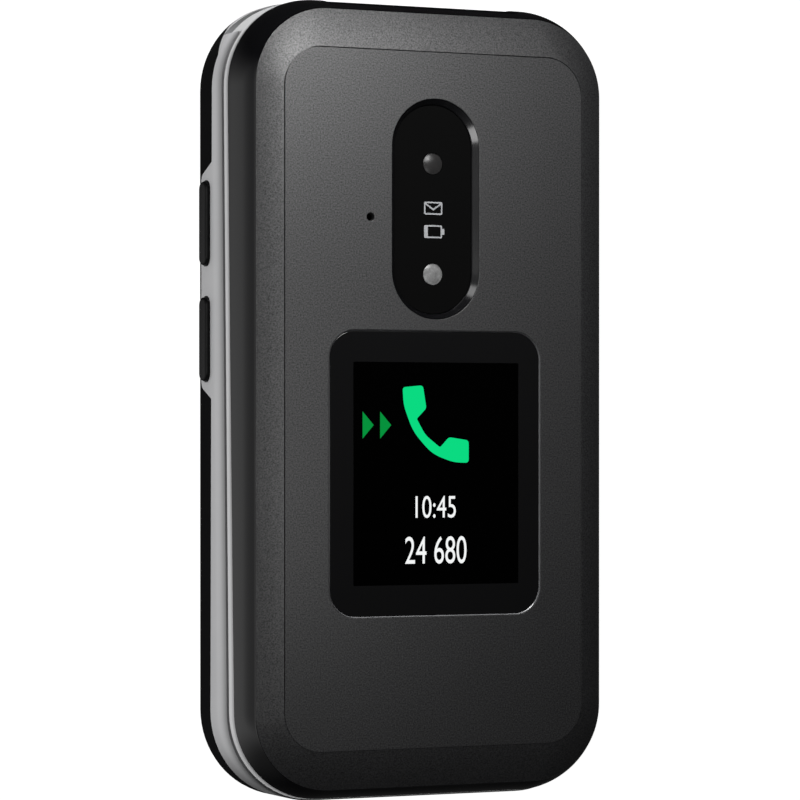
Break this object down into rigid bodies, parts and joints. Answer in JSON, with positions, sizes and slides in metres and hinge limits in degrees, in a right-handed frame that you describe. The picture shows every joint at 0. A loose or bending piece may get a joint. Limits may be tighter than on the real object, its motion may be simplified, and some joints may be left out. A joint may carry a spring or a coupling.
{
  "type": "flip phone",
  "caption": "Closed flip phone with rounded corners, a textured front cover, an outer display, a camera window, a silver band and a barrel hinge.",
  "frame": {"origin": "middle of the back, where the closed phone lies", "axes": "+Z out of the outer display, +Y towards the hinge end, +X to the right seen from the front"},
  "size_m": [0.0546, 0.1056, 0.019],
  "materials": {
    "black_plastic": "moulded ABS with a fine matt texture",
    "charcoal_texture": "textured charcoal polycarbonate, front cover",
    "silver_paint": "satin silver paint on a moulded frame",
    "piano_black": "glossy black moulding",
    "key_plastic": "dark grey moulded keys",
    "ring_silver": "satin silver painted plastic",
    "call_green": "green moulded key",
    "end_red": "red moulded key",
    "dark_glass": "toughened glass with a black printed border",
    "display_stack": "liquid crystal panel in its frame",
    "board_green": "fibre-glass circuit board with green resist",
    "steel_sheet": "pressed stainless steel",
    "spring_steel": "drawn spring steel",
    "contact_gold": "gold-plated spring metal",
    "bush_brass": "turned brass",
    "dome_film": "metal snap domes on a clear film",
    "cell_can": "drawn aluminium can of the cell",
    "dark_part": "dark moulded small part",
    "clear_plastic": "clear moulded polycarbonate",
    "flex_amber": "polyimide flexible circuit",
    "rubber_plug": "soft black rubber"
  },
  "bodies": {
    "base": {"battery_cover": "black_plastic", "base_chassis": "black_plastic", "mid_frame": "silver_paint", "keypad_plate": "black_plastic", "main_board": "board_green", "key_domes": "dome_film", "shield_can": "steel_sheet", "battery": "cell_can", "battery_contacts": "contact_gold", "loudspeaker": "dark_part", "vibration_motor": "steel_sheet", "usb_port": "steel_sheet", "headphone_jack": "dark_part", "sim_holder": "steel_sheet", "microphone": "steel_sheet", "antenna": "contact_gold", "base_screws": "spring_steel", "hinge_cartridge": "steel_sheet", "cam_follower": "steel_sheet", "hinge_spring": "spring_steel", "display_flex": "flex_amber"},
    "flip": {"flip_frame": "silver_paint", "flip_wall": "piano_black", "flip_cover": "charcoal_texture", "camera_bezel": "piano_black", "camera_window": "dark_glass", "camera_module": "dark_part", "flash_lens": "clear_plastic", "light_guide": "clear_plastic", "outer_glass": "dark_glass", "outer_display": "display_stack", "flip_board": "board_green", "inner_bezel": "black_plastic", "inner_glass": "dark_glass", "inner_display": "display_stack", "earpiece": "dark_part", "flip_bumpers": "rubber_plug", "flip_screws": "spring_steel", "hinge_cam": "spring_steel", "pivot_bush": "bush_brass"},
    "direction_ring_body": {"direction_ring": "ring_silver"},
    "ok_key_body": {"ok_key": "key_plastic"},
    "left_soft_key_body": {"left_soft_key": "key_plastic"},
    "right_soft_key_body": {"right_soft_key": "key_plastic"},
    "call_key_body": {"call_key": "call_green"},
    "end_key_body": {"end_key": "end_red"},
    "key_1_body": {"key_1": "key_plastic"},
    "key_2_body": {"key_2": "key_plastic"},
    "key_3_body": {"key_3": "key_plastic"},
    "key_4_body": {"key_4": "key_plastic"},
    "key_5_body": {"key_5": "key_plastic"},
    "key_6_body": {"key_6": "key_plastic"},
    "key_7_body": {"key_7": "key_plastic"},
    "key_8_body": {"key_8": "key_plastic"},
    "key_9_body": {"key_9": "key_plastic"},
    "key_star_body": {"key_star": "key_plastic"},
    "key_0_body": {"key_0": "key_plastic"},
    "key_hash_body": {"key_hash": "key_plastic"},
    "volume_up_key_body": {"volume_up_key": "black_plastic"},
    "volume_down_key_body": {"volume_down_key": "black_plastic"}
  },
  "joints": [
    {"name": "flip_hinge", "type": "hinge", "parent": "base", "child": "flip", "pos_m": [0, 0.0485, 0.012], "axis": [-1, 0, 0], "range_deg": [0, 155]},
    {"name": "direction_ring_press", "type": "slide", "parent": "base", "child": "direction_ring_body", "axis": [0, -0.0208, -0.9998], "range_m": [0, 0.0003], "stiffness_N_per_m": 3000},
    {"name": "ok_key_press", "type": "slide", "parent": "base", "child": "ok_key_body", "axis": [0, -0.0208, -0.9998], "range_m": [0, 0.0003], "stiffness_N_per_m": 3000},
    {"name": "left_soft_key_press", "type": "slide", "parent": "base", "child": "left_soft_key_body", "axis": [0, -0.0208, -0.9998], "range_m": [0, 0.0003], "stiffness_N_per_m": 3000},
    {"name": "right_soft_key_press", "type": "slide", "parent": "base", "child": "right_soft_key_body", "axis": [0, -0.0208, -0.9998], "range_m": [0, 0.0003], "stiffness_N_per_m": 3000},
    {"name": "call_key_press", "type": "slide", "parent": "base", "child": "call_key_body", "axis": [0, -0.0208, -0.9998], "range_m": [0, 0.0003], "stiffness_N_per_m": 3000},
    {"name": "end_key_press", "type": "slide", "parent": "base", "child": "end_key_body", "axis": [0, -0.0208, -0.9998], "range_m": [0, 0.0003], "stiffness_N_per_m": 3000},
    {"name": "key_1_press", "type": "slide", "parent": "base", "child": "key_1_body", "axis": [0, -0.0208, -0.9998], "range_m": [0, 0.0003], "stiffness_N_per_m": 3000},
    {"name": "key_2_press", "type": "slide", "parent": "base", "child": "key_2_body", "axis": [0, -0.0208, -0.9998], "range_m": [0, 0.0003], "stiffness_N_per_m": 3000},
    {"name": "key_3_press", "type": "slide", "parent": "base", "child": "key_3_body", "axis": [0, -0.0208, -0.9998], "range_m": [0, 0.0003], "stiffness_N_per_m": 3000},
    {"name": "key_4_press", "type": "slide", "parent": "base", "child": "key_4_body", "axis": [0, -0.0208, -0.9998], "range_m": [0, 0.0003], "stiffness_N_per_m": 3000},
    {"name": "key_5_press", "type": "slide", "parent": "base", "child": "key_5_body", "axis": [0, -0.0208, -0.9998], "range_m": [0, 0.0003], "stiffness_N_per_m": 3000},
    {"name": "key_6_press", "type": "slide", "parent": "base", "child": "key_6_body", "axis": [0, -0.0208, -0.9998], "range_m": [0, 0.0003], "stiffness_N_per_m": 3000},
    {"name": "key_7_press", "type": "slide", "parent": "base", "child": "key_7_body", "axis": [0, -0.0208, -0.9998], "range_m": [0, 0.0003], "stiffness_N_per_m": 3000},
    {"name": "key_8_press", "type": "slide", "parent": "base", "child": "key_8_body", "axis": [0, -0.0208, -0.9998], "range_m": [0, 0.0003], "stiffness_N_per_m": 3000},
    {"name": "key_9_press", "type": "slide", "parent": "base", "child": "key_9_body", "axis": [0, -0.0208, -0.9998], "range_m": [0, 0.0003], "stiffness_N_per_m": 3000},
    {"name": "key_star_press", "type": "slide", "parent": "base", "child": "key_star_body", "axis": [0, -0.0208, -0.9998], "range_m": [0, 0.0003], "stiffness_N_per_m": 3000},
    {"name": "key_0_press", "type": "slide", "parent": "base", "child": "key_0_body", "axis": [0, -0.0208, -0.9998], "range_m": [0, 0.0003], "stiffness_N_per_m": 3000},
    {"name": "key_hash_press", "type": "slide", "parent": "base", "child": "key_hash_body", "axis": [0, -0.0208, -0.9998], "range_m": [0, 0.0003], "stiffness_N_per_m": 3000},
    {"name": "volume_up_key_press", "type": "slide", "parent": "base", "child": "volume_up_key_body", "axis": [1, 0, 0], "range_m": [0, 0.0003], "stiffness_N_per_m": 3000},
    {"name": "volume_down_key_press", "type": "slide", "parent": "base", "child": "volume_down_key_body", "axis": [1, 0, 0], "range_m": [0, 0.0003], "stiffness_N_per_m": 3000}
  ]
}
